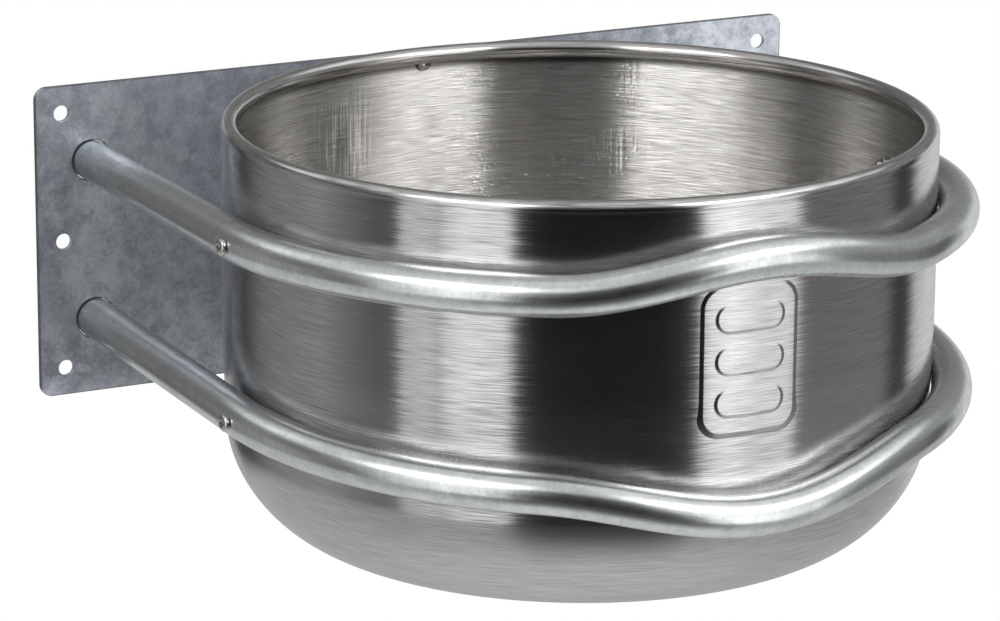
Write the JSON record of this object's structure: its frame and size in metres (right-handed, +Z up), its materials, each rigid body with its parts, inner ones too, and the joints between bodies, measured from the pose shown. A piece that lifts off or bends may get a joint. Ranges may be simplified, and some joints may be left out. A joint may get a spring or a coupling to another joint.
{
  "type": "wall-mounted round feed bowl",
  "caption": "Round stainless feed bowl with a rolled rim, held on a galvanised wall plate by upper and lower bent tube hoops, with screwed fixings.",
  "frame": {"origin": "centre of the wall plate's back face", "axes": "+Y out of the back of the plate into the wall, so the bowl is towards -Y; +X along the plate's long side; +Z up"},
  "size_m": [0.535, 0.4636, 0.2573],
  "materials": {
    "galvanised_steel": "hot-dip galvanised, frosted mid grey",
    "stainless_steel": "fine circumferential brushing",
    "stainless_fastener": "bright turned stainless",
    "weld_metal": "galvanised weld bead"
  },
  "bodies": {
    "root": {"wall_plate": "galvanised_steel", "upper_hoop": "galvanised_steel", "lower_hoop": "galvanised_steel", "feed_bowl": "stainless_steel", "upper_left_bolt": "stainless_fastener", "upper_left_washer": "stainless_fastener", "upper_left_cap_nut": "stainless_fastener", "upper_left_weld": "weld_metal", "upper_right_bolt": "stainless_fastener", "upper_right_washer": "stainless_fastener", "upper_right_cap_nut": "stainless_fastener", "upper_right_weld": "weld_metal", "lower_left_bolt": "stainless_fastener", "lower_left_washer": "stainless_fastener", "lower_left_cap_nut": "stainless_fastener", "lower_left_weld": "weld_metal", "lower_right_bolt": "stainless_fastener", "lower_right_washer": "stainless_fastener", "lower_right_cap_nut": "stainless_fastener", "lower_right_weld": "weld_metal", "back_screw": "stainless_fastener"}
  },
  "joints": []
}
